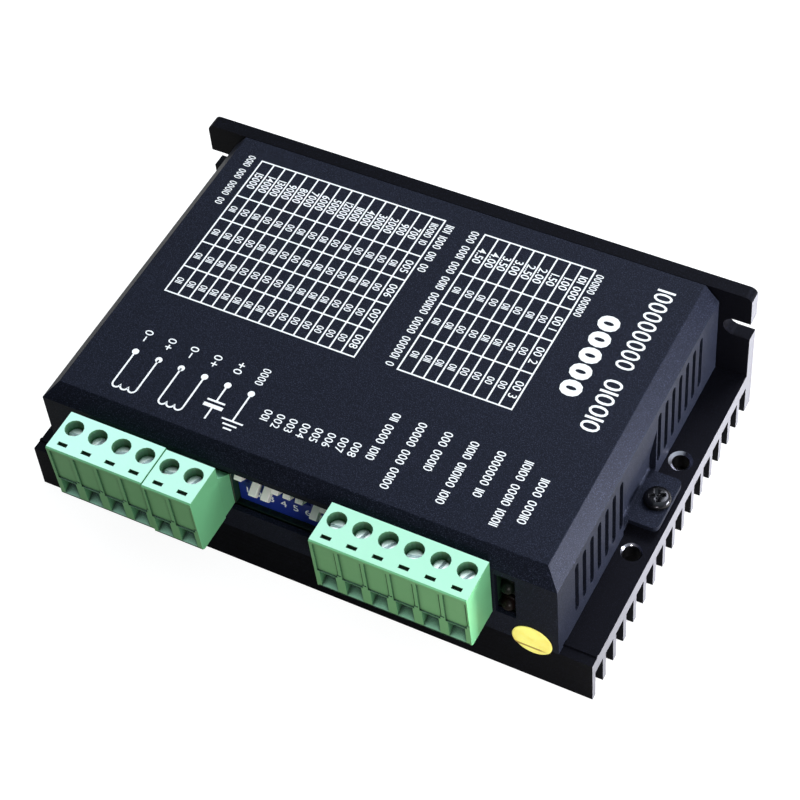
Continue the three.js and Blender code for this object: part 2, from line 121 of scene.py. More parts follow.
class Surface(Graph):
    """One procedural Principled material, with its textures laid out in mm."""

    SOCKETS = {
        "color": "Base Color", "rough": "Roughness", "metal": "Metallic",
        "spec": "Specular IOR Level", "tint": "Specular Tint", "coat": "Coat Weight",
        "subsurface": "Subsurface Weight", "subsurface_scale": "Subsurface Scale",
        "subsurface_radius": "Subsurface Radius",
        "emission": "Emission Color", "emission_strength": "Emission Strength",
    }

    def __init__(self, name):
        self.material = bpy.data.materials.new(name)
        self.material.use_nodes = True
        super().__init__(self.material.node_tree)
        output = self.node("OutputMaterial")
        self.shader = self.node("BsdfPrincipled")
        self.put(output.inputs["Surface"], self.shader.outputs[0])
        coordinates = self.node("TexCoord").outputs["Object"]
        self.place = self.vector("MULTIPLY", coordinates, (1000, 1000, 1000)).outputs["Vector"]
        self.normal = None

    def set(self, **values):
        for name, value in values.items():
            self.put(self.shader.inputs[self.SOCKETS[name]], value)

    def vector(self, operation, first, second):
        return self.node("VectorMath", {0: first, 1: second}, operation=operation)

    def math(self, operation, first, second=0.0):
        return self.node("Math", {0: first, 1: second}, operation=operation).outputs[0]

    def noise(self, scale, detail, rough=0.5, stretch=None, seed=0.0, distort=0.0):
        """Noise with its scale per mm. stretch multiplies each axis, seed shifts the pattern."""
        place = self.place
        if stretch:
            place = self.vector("MULTIPLY", place, stretch).outputs["Vector"]
        if seed:
            shift = (seed, seed * 1.7, seed * 0.6)
            place = self.vector("ADD", place, shift).outputs["Vector"]
        return self.node("TexNoise", {
            "Vector": place, "Scale": scale, "Detail": detail, "Roughness": rough,
            "Distortion": distort}).outputs["Fac"]

    def ramp(self, factor, *stops):
        """A ramp between two stops, each a position and a grey."""
        node = self.node("ValToRGB", {0: factor})
        for element, (position, grey) in zip(node.color_ramp.elements, stops):
            element.position = position
            element.color = (grey, grey, grey, 1)
        return node.outputs["Color"]

    def mix(self, factor, first, second):
        return self.node("Mix", {0: factor, 6: first, 7: second}, data_type="RGBA").outputs[2]

    def remap(self, value, start=(0.0, 1.0), end=(0.0, 1.0)):
        """Carries the range start onto the range end, clamped."""
        return self.node("MapRange", {
            0: value, 1: start[0], 2: start[1], 3: end[0], 4: end[1]}).outputs[0]

    def span(self, factor, low, high):
        return self.remap(factor, end=(low, high))

    def axes(self):
        """The x, y and z sockets of the place in mm."""
        return self.node("SeparateXYZ", {0: self.place}).outputs

    def crevice(self, distance, power):
        """1 on open surface, falling towards 0 in slots and corners of the same piece."""
        node = self.node(
            "AmbientOcclusion", {"Distance": distance * MILLI}, samples=6, only_local=True)
        return self.math("POWER", node.outputs["AO"], power)

    def band(self, axis, centre, half, soft):
        """1 within half of centre along an axis, fading over soft."""
        offset = self.math("SUBTRACT", self.axes()[axis], centre)
        distance = self.math("ABSOLUTE", offset)
        return self.remap(distance, start=(half, half + soft), end=(1.0, 0.0))

    def facing(self, direction):
        """1 where the surface faces along direction, fading to 0."""
        normal = self.node("NewGeometry").outputs["True Normal"]
        dot = self.vector("DOT_PRODUCT", normal, direction).outputs["Value"]
        return self.remap(dot, start=(0.75, 0.95))

    def bump(self, height, strength, depth):
        """Adds relief on top of any earlier relief."""
        inputs = {"Strength": strength, "Distance": depth * MILLI, "Height": height}
        if self.normal is not None:
            inputs["Normal"] = self.normal
        self.normal = self.node("Bump", inputs).outputs["Normal"]
        self.put(self.shader.inputs["Normal"], self.normal)


# ------------------------------------------------------------------ materials
def plastic(name, rgb, rough, grain, bump, vary, subsurface=0.0, coat=0.0):
    """Moulded plastic. grain is the noise scale, vary the spread of brightness."""
    color = linear(rgb)
    mat = Surface(name)
    wide = mat.noise(scale=0.12, detail=3.0, rough=0.6)
    fine = mat.noise(scale=grain, detail=3.0, rough=0.6, seed=3.1)
    tone = mat.mix(mat.span(wide, 0.0, 1.0), scaled(color, 1 - vary), scaled(color, 1 + vary))
    tone = mat.mix(mat.span(fine, 0.0, 0.35), tone, scaled(color, 1 - 1.5 * vary))
    mat.set(color=tone, rough=mat.span(fine, rough - 0.07, rough + 0.1), spec=0.5, coat=coat)
    if subsurface:
        mat.set(subsurface=subsurface, subsurface_scale=0.0006,
                subsurface_radius=(0.6, 1.0, 0.7))
    mat.bump(fine, strength=bump, depth=0.03)
    return mat.material


def metal(name, rgb, rough, scratch, bump, vary, metallic=1.0):
    """Metal with fine lines. scratch stretches the line noise along each axis."""
    color = linear(rgb)
    mat = Surface(name)
    lines = mat.noise(scale=2.2, detail=4.0, rough=0.7, stretch=scratch)
    blot = mat.noise(scale=0.35, detail=3.0, rough=0.6, seed=9.0)
    tone = mat.mix(mat.span(blot, 0.0, 1.0), scaled(color, 1 - vary), scaled(color, 1 + vary))
    mat.set(color=tone, metal=metallic, rough=mat.span(lines, rough - 0.08, rough + 0.16))
    mat.bump(lines, strength=bump, depth=0.02)
    return mat.material


def powder_coat():
    """Fine-textured dark blue-black powder coat with pale specks."""
    mat = Surface("powder_coat")
    fine = mat.noise(scale=2.6, detail=3.0, rough=0.65)
    grit = mat.noise(scale=6.0, detail=1.0, seed=5.0)
    wide = mat.noise(scale=0.035, detail=4.0, rough=0.6, seed=2.0)
    tone = mat.mix(mat.span(wide, 0.1, 0.9), linear((12, 14, 21)), linear((18, 21, 31)))
    tone = mat.mix(mat.ramp(fine, (0.36, 0.75), (0.52, 0.0)), tone, linear((8, 9, 14)))
    speck = mat.ramp(grit, (0.57, 0.0), (0.70, 1.0))
    tone = mat.mix(mat.math("MULTIPLY", speck, 0.65), tone, linear((58, 62, 82)))
    mat.set(color=tone, rough=mat.span(fine, 0.46, 0.64), spec=0.12,
            tint=linear((196, 206, 255)))
    mat.bump(fine, strength=0.6, depth=0.05)
    mat.bump(grit, strength=0.4, depth=0.025)
    return mat.material


def black_anodised():
    """Black anodised extrusion with die lines along its length."""
    mat = Surface("black_anodised")
    die = mat.noise(scale=1.4, detail=5.0, rough=0.75, stretch=(0.012, 1.0, 1.0))
    fine = mat.noise(scale=5.0, detail=2.0, seed=4.0)
    wide = mat.noise(scale=0.05, detail=3.0, seed=7.0)
    tone = mat.mix(mat.span(wide, 0.0, 1.0), linear((4, 4, 6)), linear((9, 9, 12)))
    tone = mat.mix(mat.ramp(fine, (0.54, 0.0), (0.72, 0.35)), tone, linear((38, 40, 56)))
    mat.set(color=tone, rough=mat.span(die, 0.42, 0.6), spec=0.05,
            tint=linear((210, 214, 255)))
    mat.bump(die, strength=0.3, depth=0.05)
    mat.bump(fine, strength=0.35, depth=0.02)
    return mat.material


def sawn_aluminium():
    """Bare aluminium where the extrusion was cut to length."""
    mat = Surface("sawn_aluminium")
    saw = mat.noise(scale=1.6, detail=3.0, rough=0.7, stretch=(1.0, 0.08, 1.6))
    burr = mat.noise(scale=7.0, detail=2.0, seed=1.0)
    tone = mat.mix(mat.span(saw, 0.0, 1.0), linear((88, 88, 96)), linear((114, 114, 124)))
    mat.set(color=tone, metal=0.2, rough=mat.span(burr, 0.34, 0.58), spec=0.6)
    mat.bump(saw, strength=0.5, depth=0.06)
    mat.bump(burr, strength=0.25, depth=0.02)
    return mat.material


def green_polyamide():
    """Moulded plug housings with painted light: a pale painted sheen on top, painted olive shade
    in front and on the right, painted shade in the wells.
    """
    mat = Surface("green_polyamide")
    wide = mat.noise(scale=0.16, detail=3.0, rough=0.6)
    flow = mat.noise(scale=0.5, detail=4.0, rough=0.65, stretch=(0.35, 1.0, 1.0), seed=6.0,
                     distort=0.4)
    fine = mat.noise(scale=4.5, detail=3.0, rough=0.6, seed=3.1)
    tone = mat.mix(mat.span(wide, 0.0, 1.0), linear((116, 194, 142)), linear((134, 210, 158)))
    tone = mat.mix(mat.span(flow, 0.0, 0.35), tone, linear((98, 176, 126)))
    axes = mat.axes()
    # Painted sheen: the up-facing tops grow paler towards the left.
    left_sheen = mat.remap(axes[0], start=(-40.0, 20.0), end=(0.95, 0.55))
    top = mat.math("MULTIPLY", mat.facing((0, 0, 1)), left_sheen)
    tone = mat.mix(top, tone, linear((186, 232, 220)))
    # Painted shade: faces towards +x take a darker green, faces towards -y a darker olive.
    right = mat.math("MULTIPLY", mat.facing((1, 0, 0)), 0.7)
    tone = mat.mix(right, tone, linear((108, 178, 128)))
    front = mat.math("MULTIPLY", mat.facing((0, -1, 0)), 0.8)
    front_shade_tone = mat.mix(mat.span(flow, 0.0, 1.0), linear((94, 142, 90)), linear((108, 156, 104)))
    tone = mat.mix(front, tone, front_shade_tone)
    # Painted shade: wells and entries darken with depth, less so above z = 23.
    well_shade = mat.ramp(mat.crevice(distance=5.0, power=1.0), (0.30, 0.0), (0.78, 1.0))
    lift = mat.remap(axes[2], start=(23.0, 28.0), end=(0.0, 0.32))
    remainder = mat.math("SUBTRACT", 1.0, lift)
    open_air = mat.math("ADD", lift, mat.math("MULTIPLY", well_shade, remainder))
    shade = mat.math("MULTIPLY", mat.crevice(distance=1.0, power=1.6), open_air)
    tone = mat.mix(shade, linear((8, 34, 18)), tone)
    mat.set(color=tone, rough=mat.span(fine, 0.36, 0.52), spec=0.5, subsurface=0.06,
            subsurface_scale=0.0004, subsurface_radius=(0.5, 1.0, 0.6))
    mat.bump(fine, strength=0.22, depth=0.025)
    mat.bump(flow, strength=0.1, depth=0.05)
    return mat.material


def circuit_board():
    """Solder mask with buried copper runs."""
    mat = Surface("circuit_board")
    runs = mat.node("TexBrick", {
        "Vector": mat.place, "Scale": 0.22, "Mortar Size": 0.05,
        "Color1": linear((5, 14, 10)), "Color2": linear((6, 17, 12)),
        "Mortar": linear((10, 28, 19))})
    weave = mat.noise(scale=1.5, detail=3.0)
    tone = mat.mix(mat.span(weave, 0.0, 0.3), runs.outputs["Color"], linear((4, 11, 8)))
    mat.set(color=tone, rough=0.4, spec=0.3)
    mat.bump(runs.outputs["Fac"], strength=0.3, depth=0.04)
    return mat.material


def seal_paper():
    """Yellow tamper label: paper with faint fibres, stains and painted brown shade along its
    fold.
    """
    mat = Surface("seal_paper")
    fibre = mat.noise(scale=1.1, detail=5.0, rough=0.7, stretch=(1.0, 1.0, 0.4), distort=0.8)
    stain = mat.noise(scale=0.35, detail=4.0, rough=0.6, seed=3.0)
    tone = mat.mix(mat.span(fibre, 0.0, 1.0), linear((255, 244, 112)), linear((255, 254, 150)))
    tone = mat.mix(mat.ramp(stain, (0.48, 0.0), (0.70, 0.55)), tone, linear((226, 188, 84)))
    # Painted shade: a brown band darkens the label along the fold.
    across = mat.band(axis=2, centre=10.12, half=0.2, soft=0.34)
    along = mat.band(axis=0, centre=46.2, half=2.7, soft=1.8)
    fold = mat.math("MULTIPLY", across, along)
    fold_shade = mat.math("MULTIPLY", fold, mat.span(fibre, 0.7, 1.0))
    tone = mat.mix(fold_shade, tone, linear((134, 92, 34)))
    # A little emission lifts the label under these lights. It is a choice of look.
    mat.set(color=tone, rough=0.42, spec=0.5, emission=tone, emission_strength=0.22)
    mat.bump(fibre, strength=0.25, depth=0.03)
    return mat.material


def lens_epoxy(name, rgb):
    mat = Surface(name)
    cloud = mat.noise(scale=1.2, detail=3.0)
    tone = mat.mix(cloud, scaled(linear(rgb), 0.8), scaled(linear(rgb), 1.3))
    mat.set(color=tone, rough=0.34, spec=0.1)
    mat.bump(cloud, strength=0.05, depth=0.03)
    return mat.material


EVEN = (1, 1, 1)              # no drawn-out scratches
PRESSED = (0.5, 0.5, 0.3)     # scratches drawn out slightly upright
MATS = {
    "cover": powder_coat(),
    "anodised": black_anodised(),
    "bare": sawn_aluminium(),
    "rim": metal("countersink_aluminium", (150, 150, 160), rough=0.16, scratch=EVEN,
                 bump=0.06, vary=0.04),
    "black_screw": metal("black_oxide_steel", (40, 40, 44), rough=0.16, scratch=EVEN,
                         bump=0.2, vary=0.3, metallic=0.9),
    "clamp": metal("clamp_steel", (92, 94, 94), rough=0.42, scratch=PRESSED,
                   bump=0.1, vary=0.15),
    "zinc": metal("zinc_plated_steel", (236, 244, 246), rough=0.3, scratch=PRESSED,
                  bump=0.05, vary=0.08),
    "tin": metal("tinned_pin", (206, 206, 200), rough=0.28, scratch=(0.3, 2.0, 0.3),
                 bump=0.12, vary=0.10),
    "brass": metal("turned_brass", (196, 158, 84), rough=0.26, scratch=(0.4, 0.4, 4.0),
                   bump=0.18, vary=0.14),
    "plug_green": green_polyamide(),
    "header_green": plastic("header_polyamide", (20, 50, 32), rough=0.5, grain=4.0,
                            bump=0.25, vary=0.10),
    "switch_blue": plastic("switch_blue_nylon", (24, 44, 132), rough=0.36, grain=4.0,
                           bump=0.2, vary=0.10),
    "lever_white": plastic("lever_white_nylon", (232, 232, 226), rough=0.42, grain=3.5,
                           bump=0.2, vary=0.05, subsurface=0.15),
    "ink": plastic("white_screen_ink", (236, 238, 242), rough=0.55, grain=5.0,
                   bump=0.3, vary=0.05),
    "lamp_black": plastic("lamp_holder_black", (24, 24, 26), rough=0.45, grain=4.0,
                          bump=0.2, vary=0.15),
    "rubber": plastic("gap_pad_silicone", (150, 156, 164), rough=0.8, grain=1.6,
                      bump=0.5, vary=0.10),
    "chip": plastic("moulded_epoxy", (30, 30, 32), rough=0.6, grain=6.0,
                    bump=0.35, vary=0.15),
    "sleeve": plastic("capacitor_sleeve_pvc", (30, 34, 48), rough=0.3, grain=0.9,
                      bump=0.12, vary=0.12, coat=0.4),
    "can": metal("capacitor_can", (208, 210, 214), rough=0.3, scratch=EVEN,
                 bump=0.12, vary=0.06),
    "board": circuit_board(),
    "seal": seal_paper(),
    "lens_green": lens_epoxy("lens_green_epoxy", (8, 14, 9)),
    "lens_red": lens_epoxy("lens_red_epoxy", (15, 8, 7)),
}


# --------------------------------------------------------------- mesh helpers
def fresh(name):
    obj = bpy.data.objects.new(name, bpy.data.meshes.new(name))
    bpy.context.scene.collection.objects.link(obj)
    return obj


def opened(data, angle):
    """An editable copy of a mesh, with doubles merged and flat areas made single faces."""
    mesh = bmesh.new()
    mesh.from_mesh(data)
    bmesh.ops.remove_doubles(mesh, verts=mesh.verts[:], dist=1e-6)
    bmesh.ops.dissolve_limit(
        mesh, angle_limit=math.radians(angle), use_dissolve_boundaries=False,
        verts=mesh.verts[:], edges=mesh.edges[:])
    return mesh


def outward(mesh):
    bmesh.ops.recalc_face_normals(mesh, faces=mesh.faces[:])


def from_node(node):
    mesh = opened(NODES[node].data, angle=0.6)
    for layer in list(mesh.loops.layers.uv.values()):
        mesh.loops.layers.uv.remove(layer)
    outward(mesh)
    return mesh


def store(mesh, obj):
    """Writes the mesh to the object, all smooth and without stored normals."""
    for face in mesh.faces:
        face.smooth = True
    mesh.normal_update()
    mesh.to_mesh(obj.data)
    mesh.free()
    for attribute in list(obj.data.attributes):
        if attribute.name in ("custom_normal", "sharp_edge", "sharp_face"):
            obj.data.attributes.remove(attribute)
    obj.data.update()


def make_flat(obj):
    for polygon in obj.data.polygons:
        polygon.use_smooth = False


def bake(obj):
    """Applies every modifier on the object."""
    bpy.context.view_layer.update()
    depsgraph = bpy.context.evaluated_depsgraph_get()
    data = bpy.data.meshes.new_from_object(
        obj.evaluated_get(depsgraph), preserve_all_data_layers=True, depsgraph=depsgraph)
    obj.modifiers.clear()
    old = obj.data
    obj.data = data
    data.name = obj.name
    bpy.data.meshes.remove(old)


def even_normals(obj):
    normals = obj.modifiers.new("even_normals", "WEIGHTED_NORMAL")
    normals.mode = "FACE_AREA"
    normals.weight = 50
    normals.keep_sharp = False
    bake(obj)


def soften(obj, width, segments):
    """Rounds the weighted edges and evens the shading."""
    bevel = obj.modifiers.new("edge_round", "BEVEL")
    bevel.limit_method = "WEIGHT"
    bevel.width = width * MILLI
    bevel.segments = segments
    bevel.use_clamp_overlap = True
    bevel.miter_outer = "MITER_SHARP"
    bevel.loop_slide = True
    even_normals(obj)


def weigh(mesh, rule):
    """Sets the bevel weight of each edge from rule(edge, angle in degrees)."""
    layers = mesh.edges.layers.float
    layer = layers.get("bevel_weight_edge") or layers.new("bevel_weight_edge")
    for edge in mesh.edges:
        if len(edge.link_faces) == 2:
            edge[layer] = rule(edge, math.degrees(edge.calc_face_angle(0.0)))


def edge_span(edge):
    return edge.verts[1].co - edge.verts[0].co


def edge_middle(edge):
    return (edge.verts[0].co + edge.verts[1].co) / 2


def sharper_than(low):
    return lambda edge, angle: 1.0 if angle > low else 0.0


def attach(obj, node, mats):
    """Lets the object take the place of a CAD node."""
    for mat in mats:
        obj.data.materials.append(mat)
    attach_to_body(obj, BODY[node])
    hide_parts(node)


def add_on(obj, body, mats):
    """Adds an object that no CAD node stands for."""
    for mat in mats:
        obj.data.materials.append(mat)
    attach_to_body(obj, body)


def refined(node, name, mats, width=0.12, segments=2, rule=sharper_than(30.0), paint=None):
    """A copy of a node with rounded edges. paint(face) gives the material index."""
    mesh = from_node(node)
    weigh(mesh, rule)
    if paint:
        for face in mesh.faces:
            face.material_index = paint(face)
    obj = fresh(name)
    store(mesh, obj)
    soften(obj, width, segments)
    attach(obj, node, mats)


def add_box(mesh, x_range, y_range, z_range, place=point):
    corners = [mesh.verts.new(place(x, y, z)) for z in z_range for y in y_range for x in x_range]
    for quad in ((0, 2, 3, 1), (4, 5, 7, 6), (0, 1, 5, 4), (2, 6, 7, 3), (0, 4, 6, 2),
                 (1, 3, 7, 5)):
        mesh.faces.new([corners[i] for i in quad])


def add_slab(mesh, outline, y_start, y_end):
    """An outline of (x, z) carried from y_start to y_end."""
    near = [mesh.verts.new(point(x, y_start, z)) for x, z in outline]
    far = [mesh.verts.new(point(x, y_end, z)) for x, z in outline]
    mesh.faces.new(near)
    mesh.faces.new(far[::-1])
    for i in range(len(outline)):
        j = (i + 1) % len(outline)
        mesh.faces.new((near[j], near[i], far[i], far[j]))


def turned(name, profile, sides, placement, paints=None):
    """A turned object from (radius, height) pairs that run from axis to axis.

    paints gives a material index for each step of the profile.
    """
    mesh = bmesh.new()
    rings = []
    for radius, z in profile:
        if radius == 0:
            rings.append([mesh.verts.new(placement @ metres(0, 0, z))])
            continue
        rings.append([
            mesh.verts.new(placement @ Vector((
                radius * MILLI * math.cos(2 * math.pi * i / sides),
                radius * MILLI * math.sin(2 * math.pi * i / sides),
                z * MILLI)))
            for i in range(sides)])
    for step, (low, high) in enumerate(zip(rings, rings[1:])):
        for i in range(sides):
            j = (i + 1) % sides
            if len(low) == 1:
                corners = (low[0], high[j], high[i])
            elif len(high) == 1:
                corners = (low[i], low[j], high[0])
            else:
                corners = (low[i], low[j], high[j], high[i])
            face = mesh.faces.new(corners)
            if paints:
                face.material_index = paints[step]
    outward(mesh)
    obj = fresh(name)
    store(mesh, obj)
    return obj


def carve(obj, tool_mesh):
    """Cuts a tool mesh out of the object."""
    tool = fresh("tool")
    outward(tool_mesh)
    tool_mesh.to_mesh(tool.data)
    tool_mesh.free()
    cut = obj.modifiers.new("cut", "BOOLEAN")
    cut.operation = "DIFFERENCE"
    cut.solver = "EXACT"
    cut.object = tool
    bake(obj)
    bpy.data.objects.remove(tool)


# ------------------------------------------------------------- screw helpers
def upright(node):
    """The upright axis through the middle of a node."""
    low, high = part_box(node)
    centre = (low + high) / 2
    return Matrix.Translation((centre.x, centre.y, 0))


def thread(start, end, crest, root, root_rise, pitch):
    """Thread drawn as separate rings, as profile points from start up to end."""
    points = []
    z = start
    while z < end:
        points += [(crest, z), (root, z + root_rise)]
        z += pitch
    return points


def cut_slot(obj, axis, turn, half_length, half_width, z_range):
    """Cuts a straight driver slot."""
    placement = axis @ Matrix.Rotation(turn, 4, "Z")
    tool = bmesh.new()
    add_box(tool, (-half_length, half_length), (-half_width, half_width), z_range,
            place=lambda x, y, z: placement @ metres(x, y, z))
    carve(obj, tool)


def cut_cross(obj, axis, turn, bottom, top):
    """Cuts a cross recess as two tapered blades, one after the other."""
    ends = ((bottom, 0.75, 0.26), (top, 1.66, 0.42))     # z, half length, half width
    sides = ((-1, -1), (1, -1), (1, 1), (-1, 1))
    faces = ((3, 2, 1, 0), (3, 0, 4, 7), (4, 5, 6, 7), (0, 1, 5, 4), (1, 2, 6, 5), (2, 3, 7, 6))
    for blade in range(2):
        placement = (axis @ Matrix.Rotation(turn, 4, "Z")
                     @ Matrix.Rotation(blade * math.pi / 2, 4, "Z"))
        corners = [
            placement @ metres(side_x * half_length, side_y * half_width, z)
            for z, half_length, half_width in ends for side_x, side_y in sides]
        tool = bmesh.new()
        for face in faces:
            tool.faces.new([tool.verts.new(corners[i]) for i in face])
        bmesh.ops.remove_doubles(tool, verts=tool.verts[:], dist=1e-7)
        carve(obj, tool)


def soften_head(obj, above, low_angle, width):
    """Rounds the edges above a height that are sharper than low_angle."""
    mesh = opened(obj.data, angle=0.3)
    weigh(mesh, lambda edge, angle: float(
        angle > low_angle
        and (edge.verts[0].co.z + edge.verts[1].co.z) / 2 > above * MILLI))
    store(mesh, obj)
    soften(obj, width, segments=2)


# ---------------------------------------------------------- heatsink and cover
def build_heatsink():
    half_length = box_mm("heatsink")[1][0]

    def rule(edge, angle):
        if angle < 30:
            return 0.0
        x, y, z = to_mm(edge_middle(edge))
        along = abs(edge_span(edge).normalized().x) > 0.99
        if abs(abs(x) - half_length) < 0.02:
            return 0.16                       # sawn ends keep a crisp edge
        if along and z < 0.05:
            return 0.85                       # fin tips
        if along and z > 32.5:
            return 0.9                        # top of the wall
        if along and abs(y) < 0.05 and z > 10:
            return 0.5                        # upper edge of the front skirt
        return 0.28

    def paint(face):
        normal = face.normal
        x, y, z = to_mm(face.calc_center_median())
        if abs(normal.x) > 0.98 and abs(abs(x) - half_length) < 0.05:
            return 1                          # sawn ends
        if 10.3 < z < 10.79 and 0.2 < normal.z < 0.98 and 52.7 < abs(x) < 58.4:
            return 2                          # countersinks
        return 0

    refined("heatsink", "finned_heatsink", [MATS["anodised"], MATS["bare"], MATS["rim"]],
            width=0.45, segments=3, rule=rule, paint=paint)


def build_cover():
    def rule(edge, angle):
        if angle < 20:
            return 0.0
        span = edge_span(edge)
        x, y, z = to_mm(edge_middle(edge))
        is_long = span.length > 20 * MILLI
        slanted = max(abs(face.normal.z) for face in edge.link_faces) > 0.5
        if is_long and 25 < angle < 70 and z > 28.5:
            return 1.0 if edge.is_convex else 0.55    # folds round the top
        if not is_long and z > 29.5 and slanted and abs(span.z) > 1.0 * MILLI:
            return 0.6                                # hips where two bevels meet
        if angle < 32:
            return 0.0
        vertical = abs(span.normalized().z) > 0.99
        if vertical and not is_long and abs(abs(x) - 52.6) < 0.05 and abs(y + 0.15) < 0.05:
            return 0.6                                # front vertical corners
        return 0.2

    refined("cover", "folded_cover", [MATS["cover"]], width=0.6, segments=4, rule=rule)


# ------------------------------------------------------------------- terminals
def build_plug(group):
    node = "plug_" + group
    poles = len(SLOT_TURNS[group])
    obj = fresh("terminal_plug_" + group)
    store(from_node(node), obj)
    (left, front, _), (right, _, top) = box_mm(node)
    before = front - 1.0                      # cuts start ahead of the block
    tool = bmesh.new()
    for i in range(poles):
        screw_low, screw_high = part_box(f"{group}_screw_{i + 1}")
        x = (screw_low.x + screw_high.x) / 2 / MILLI
        # A shadow slot over the pole's panel.
        add_box(tool, (x - 2.02, x + 1.75), (before, front + 1.5), (top - 1.22, top - 0.82))
        # A joint line to its right with a foot, shorter on the last pole.
        foot = x + 2.85 if i < poles - 1 else x + 2.45
        joint = [(x + 2.0, top - 8.7), (foot, top - 8.7), (foot, top - 8.3),
                 (x + 2.34, top - 8.3), (x + 2.34, top - 1.3), (x + 2.0, top - 1.3)]
        add_slab(tool, joint, before, front + 2.3)
    # A line across the foot of the block.
    add_box(tool, (left + 0.35, right - 0.35), (before, front + 1.3), (top - 14.6, top - 14.28))
    carve(obj, tool)

    def rule(edge, angle):
        if angle < 30:
            return 0.0
        is_long = edge_span(edge).length > 6 * MILLI
        return 1.0 if is_long and to_mm(edge.verts[0].co)[2] > top - 0.6 else 0.5

    mesh = opened(obj.data, angle=0.6)
    weigh(mesh, rule)
    store(mesh, obj)
    soften(obj, width=0.16, segments=2)
    attach(obj, node, [MATS["plug_green"]])


def build_terminal_screw(group, index, turn):
    node = f"{group}_screw_{index}"
    (_, _, bottom), (_, _, top) = box_mm(node)
    axis = upright(node)
    shank = 1.2
    profile = [
        (0, bottom), (0.95, bottom), (shank, bottom + 0.35),
        *thread(bottom + 0.6, top - 2.2, crest=shank, root=1.02, root_rise=0.18, pitch=0.36),
        (shank, top - 1.72), (shank, top - 1.6), (1.62, top - 1.6), (1.7, top - 1.5),
        (1.7, top - 0.42), (1.64, top - 0.2), (1.5, top - 0.06), (1.3, top), (0, top),
    ]
    obj = turned(f"terminal_screw_{group}_{index}", profile, sides=40, placement=axis)
    cut_slot(obj, axis, turn, half_length=2, half_width=0.31, z_range=(top - 0.8, top + 1))
    soften_head(obj, above=top - 1.2, low_angle=40, width=0.05)
    attach(obj, node, [MATS["zinc"]])


def build_header(group):
    def paint(face):
        """1 on the pins inside the header, below it and behind it."""
        x, y, z = to_mm(face.calc_center_median())
        inside = 19.9 < z < 21.1 and y < 10.25
        tail = z < 17.0 or y > 12.32
        return int(inside or tail)

    refined("header_" + group, "board_header_" + group, [MATS["header_green"], MATS["tin"]],
            paint=paint)


def build_terminals():
    for group, turns in SLOT_TURNS.items():
        build_plug(group)
        for index, turn in enumerate(turns, 1):
            build_terminal_screw(group, index, turn)
            refined(f"{group}_clamp_{index}", f"wire_clamp_{group}_{index}", [MATS["clamp"]])
        build_header(group)


# ------------------------------------------------------------------------ text
class Glyph(NamedTuple):
    points: list
    faces: list
    left: float
    right: float
    low: float
    high: float


@functools.cache
def glyph(char, weight=0.0):
    """The closed mesh of a character, as thick as one text unit. weight fattens it."""
    curve = bpy.data.curves.new("glyph", "FONT")
    curve.body = char
    curve.resolution_u = 3
    curve.offset = weight
    curve.extrude = 0.5
    holder = bpy.data.objects.new("glyph", curve)
    bpy.context.scene.collection.objects.link(holder)
    bpy.context.view_layer.update()
    depsgraph = bpy.context.evaluated_depsgraph_get()
    data = bpy.data.meshes.new_from_object(holder.evaluated_get(depsgraph))
    mesh = bmesh.new()
    mesh.from_mesh(data)
    bmesh.ops.remove_doubles(mesh, verts=mesh.verts[:], dist=1e-5)
    outward(mesh)
    mesh.verts.index_update()
    points = [vert.co.copy() for vert in mesh.verts]
    faces = [[vert.index for vert in face.verts] for face in mesh.faces]
    mesh.free()
    bpy.data.objects.remove(holder)
    bpy.data.curves.remove(curve)
    bpy.data.meshes.remove(data)
    across = [place.x for place in points]
    upward = [place.y for place in points]
    return Glyph(points, faces, min(across), max(across), min(upward), max(upward))


def put_text(mesh, text, origin, axes, height, depth, stretch, gap, weight=0.0):
    """Writes text from origin. axes point along it, up it and out of the surface.

    stretch widens the characters, gap is the space between them over the height.
    """
    along, upward, out = axes
    nought = glyph("0")
    scale = height / (nought.high - nought.low)
    pen = 0.0
    for char in text:
        if char == " ":
            pen += height * 0.5
            continue
        shape = glyph(char, weight)
        verts = [
            mesh.verts.new(
                origin
                + along * ((pen + (place.x - shape.left) * scale * stretch) * MILLI)
                + upward * ((place.y - nought.low) * scale * MILLI)
                + out * ((place.z + 0.5) * depth * MILLI))
            for place in shape.points]
        for face in shape.faces:
            try:
                mesh.faces.new([verts[i] for i in face])
            except ValueError:
                pass    # guards against a glyph that lists the same face twice
        pen += (shape.right - shape.left) * scale * stretch + gap * height


def text_length(text, height, stretch, gap):
    nought = glyph("0")
    scale = height / (nought.high - nought.low)
    length = 0.0
    for char in text:
        if char == " ":
            length += height * 0.5
            continue
        shape = glyph(char)
        length += (shape.right - shape.left) * scale * stretch + gap * height
    return length - gap * height


# ------------------------------------------------------------------ DIP switch
def build_switch():
    refined("dip_body", "switch_body", [MATS["switch_blue"]], width=0.13)
    front = box_mm("dip_body")[0][1]
    axes = Vector((1, 0, 0)), Vector((0, 0, 1)), Vector((0, -1, 0))
    layout = {"height": 1.75, "stretch": 1.1, "gap": 0.16}
    mesh = bmesh.new()
    for index in range(1, 9):
        low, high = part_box(f"dip_lever_{index}")
        x = (low.x + high.x) / 2 / MILLI
        text = str(index)
        origin = point(x - text_length(text, **layout) / 2, front, 19.7)
        put_text(mesh, text, origin, axes, depth=0.03, **layout)
        refined(f"dip_lever_{index}", f"switch_lever_{index}", [MATS["lever_white"]],
                width=0.16, segments=3, rule=sharper_than(40))
    obj = fresh("switch_numbers")
    store(mesh, obj)
    make_flat(obj)
    add_on(obj, BODY["dip_body"], [MATS["ink"]])


